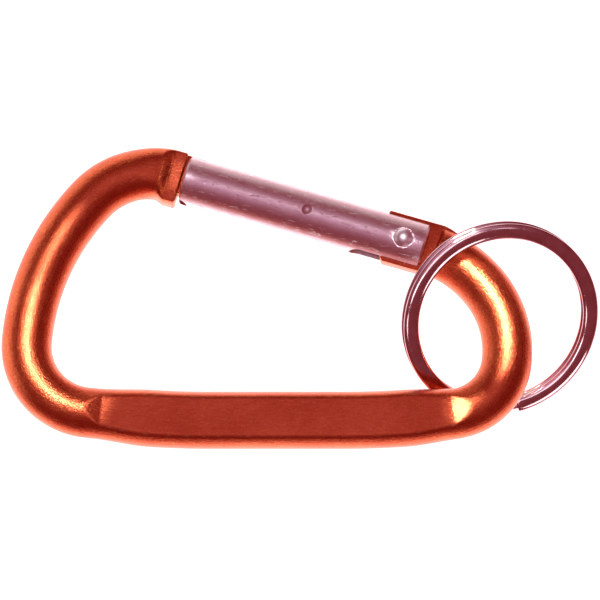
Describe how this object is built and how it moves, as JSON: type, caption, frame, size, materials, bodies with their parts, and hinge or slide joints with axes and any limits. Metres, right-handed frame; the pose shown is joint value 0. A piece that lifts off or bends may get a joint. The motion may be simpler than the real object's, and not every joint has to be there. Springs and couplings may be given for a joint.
{
  "type": "carabiner keyring",
  "caption": "Flat D-shaped carabiner of bent bar with a sprung tubular gate on a rivet and a split ring threaded on the hinge-side bend, for clipping keys to a loop or belt.",
  "frame": {"origin": "centre of the upper pressed flat of the straight spine", "axes": "+X along the spine towards the gate's hinge and the split ring, +Y from the spine towards the gate, +Z out of the upper flat"},
  "size_m": [0.0896, 0.0459, 0.0179],
  "materials": {
    "bar": "glossy orange anodised, bright on the crowns, fine-grained on the pressed flats",
    "gate": "satin silver with light scratches along its length",
    "rivet": "peened, semi-bright",
    "follower": "plain turned steel",
    "spring": "drawn spring wire",
    "ring": "bright nickel plate"
  },
  "bodies": {
    "carabiner": {"frame": "bar"},
    "gate": {"gate_tube": "gate", "gate_rivet": "rivet", "return_spring": "spring"},
    "gate_follower": {"follower": "follower"},
    "ring": {"split_ring": "ring"}
  },
  "joints": [
    {"name": "gate_pivot", "type": "hinge", "parent": "carabiner", "child": "gate", "pos_m": [0.01895, 0.0273, -0.00305], "axis": [0, 0, 1], "range_deg": [0, 40], "stiffness_Nm_per_rad": 0.012, "springref_deg": -85.94},
    {"name": "follower_slide", "type": "slide", "parent": "gate", "child": "gate_follower", "axis": [-0.9598, 0.2807, 0], "range_m": [0, 0.00105], "deforming": ["return_spring"]},
    {"name": "ring_swing", "type": "hinge", "parent": "carabiner", "child": "ring", "pos_m": [0.0335, 0.01555, -0.00305], "axis": [0.8988, 0.4384, 0], "range_deg": [-3, 117]}
  ],
  "couplings": [
    {"joint": "follower_slide", "follows": "gate_pivot", "m_per_rad": 0.0015}
  ]
}
